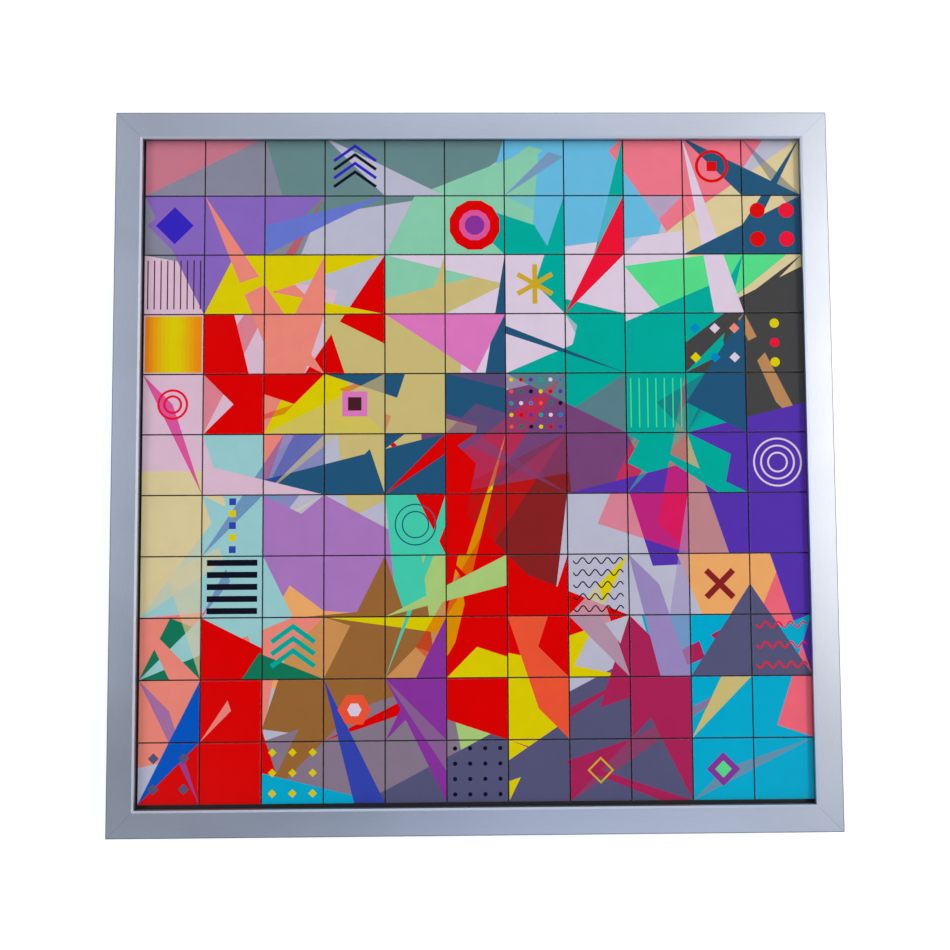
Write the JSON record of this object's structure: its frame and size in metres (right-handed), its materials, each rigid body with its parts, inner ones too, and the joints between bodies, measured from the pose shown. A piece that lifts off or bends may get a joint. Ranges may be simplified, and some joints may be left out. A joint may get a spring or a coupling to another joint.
{
  "type": "sliding tile puzzle",
  "caption": "Square sliding tile puzzle in a silver frame: glossy picture tiles on magnetic pads slide over a steel sheet once the corner tile lifts out.",
  "frame": {"origin": "middle of the back, on the plane that the bumpers stand on", "axes": "+X to the right of the picture, +Y to its top, +Z out of its face"},
  "size_m": [0.592, 0.592, 0.03],
  "materials": {
    "satin_silver": "satin silver, fine grain along each rail",
    "black_plastic": "matt black",
    "black_painted_steel": "satin black powder coat",
    "backing_board": "bare hardboard",
    "zinc_steel": "zinc plated",
    "rubber": "matt",
    "clear_acrylic": "clear, polished, over a printed film",
    "printed_film": "many-coloured print behind a clear plate",
    "magnetic_rubber": "matt"
  },
  "bodies": {
    "tray": {"rail_top": "satin_silver", "rail_bottom": "satin_silver", "rail_left": "satin_silver", "rail_right": "satin_silver", "liner_top": "black_plastic", "liner_bottom": "black_plastic", "liner_left": "black_plastic", "liner_right": "black_plastic", "steel_sheet": "black_painted_steel", "backing_board": "backing_board", "corner_key_top_left": "zinc_steel", "corner_key_top_right": "zinc_steel", "corner_key_bottom_left": "zinc_steel", "corner_key_bottom_right": "zinc_steel", "corner_screws": "zinc_steel", "spring_clips": "zinc_steel", "hanger_left": "zinc_steel", "hanger_right": "zinc_steel", "hanger_screws": "zinc_steel", "hanger_nuts": "zinc_steel", "rubber_bumpers": "rubber", "tiles_row_01": "clear_acrylic", "tiles_row_02": "clear_acrylic", "tiles_row_03": "clear_acrylic", "tiles_row_04": "clear_acrylic", "tiles_row_05": "clear_acrylic", "tiles_row_06": "clear_acrylic", "tiles_row_07": "clear_acrylic", "tiles_row_08": "clear_acrylic", "tiles_row_09": "clear_acrylic", "tiles_row_10": "clear_acrylic", "magnetic_pads": "magnetic_rubber"},
    "tile_02": {"bottom_tile_02": "clear_acrylic", "bottom_pad_02": "magnetic_rubber"},
    "tile_03": {"bottom_tile_03": "clear_acrylic", "bottom_pad_03": "magnetic_rubber"},
    "tile_04": {"bottom_tile_04": "clear_acrylic", "bottom_pad_04": "magnetic_rubber"},
    "tile_05": {"bottom_tile_05": "clear_acrylic", "bottom_pad_05": "magnetic_rubber"},
    "tile_06": {"bottom_tile_06": "clear_acrylic", "bottom_pad_06": "magnetic_rubber"},
    "tile_07": {"bottom_tile_07": "clear_acrylic", "bottom_pad_07": "magnetic_rubber"},
    "tile_08": {"bottom_tile_08": "clear_acrylic", "bottom_pad_08": "magnetic_rubber"},
    "tile_09": {"bottom_tile_09": "clear_acrylic", "bottom_pad_09": "magnetic_rubber"},
    "tile_10": {"bottom_tile_10": "clear_acrylic", "bottom_pad_10": "magnetic_rubber"},
    "tile_11": {"bottom_tile_11": "clear_acrylic", "bottom_pad_11": "magnetic_rubber"},
    "key": {"key_tile": "clear_acrylic", "key_pad": "magnetic_rubber"}
  },
  "joints": [
    {"name": "key_tile_lift", "type": "slide", "parent": "tray", "child": "key", "axis": [0, 0, 1], "range_m": [0, 0.2]},
    {"name": "tile_02_slide", "type": "slide", "parent": "tray", "child": "tile_02", "axis": [-1, 0, 0], "range_m": [0, 0.05]},
    {"name": "tile_03_slide", "type": "slide", "parent": "tray", "child": "tile_03", "axis": [-1, 0, 0], "range_m": [0, 0.05]},
    {"name": "tile_04_slide", "type": "slide", "parent": "tray", "child": "tile_04", "axis": [-1, 0, 0], "range_m": [0, 0.05]},
    {"name": "tile_05_slide", "type": "slide", "parent": "tray", "child": "tile_05", "axis": [-1, 0, 0], "range_m": [0, 0.05]},
    {"name": "tile_06_slide", "type": "slide", "parent": "tray", "child": "tile_06", "axis": [-1, 0, 0], "range_m": [0, 0.05]},
    {"name": "tile_07_slide", "type": "slide", "parent": "tray", "child": "tile_07", "axis": [-1, 0, 0], "range_m": [0, 0.05]},
    {"name": "tile_08_slide", "type": "slide", "parent": "tray", "child": "tile_08", "axis": [-1, 0, 0], "range_m": [0, 0.05]},
    {"name": "tile_09_slide", "type": "slide", "parent": "tray", "child": "tile_09", "axis": [-1, 0, 0], "range_m": [0, 0.05]},
    {"name": "tile_10_slide", "type": "slide", "parent": "tray", "child": "tile_10", "axis": [-1, 0, 0], "range_m": [0, 0.05]},
    {"name": "tile_11_slide", "type": "slide", "parent": "tray", "child": "tile_11", "axis": [-1, 0, 0], "range_m": [0, 0.05]}
  ],
  "couplings": [
    {"joint": "tile_02_slide", "follows": "key_tile_lift", "ratio": 0.25},
    {"joint": "tile_03_slide", "follows": "key_tile_lift", "ratio": 0.25},
    {"joint": "tile_04_slide", "follows": "key_tile_lift", "ratio": 0.25},
    {"joint": "tile_05_slide", "follows": "key_tile_lift", "ratio": 0.25},
    {"joint": "tile_06_slide", "follows": "key_tile_lift", "ratio": 0.25},
    {"joint": "tile_07_slide", "follows": "key_tile_lift", "ratio": 0.25},
    {"joint": "tile_08_slide", "follows": "key_tile_lift", "ratio": 0.25},
    {"joint": "tile_09_slide", "follows": "key_tile_lift", "ratio": 0.25},
    {"joint": "tile_10_slide", "follows": "key_tile_lift", "ratio": 0.25},
    {"joint": "tile_11_slide", "follows": "key_tile_lift", "ratio": 0.25}
  ]
}
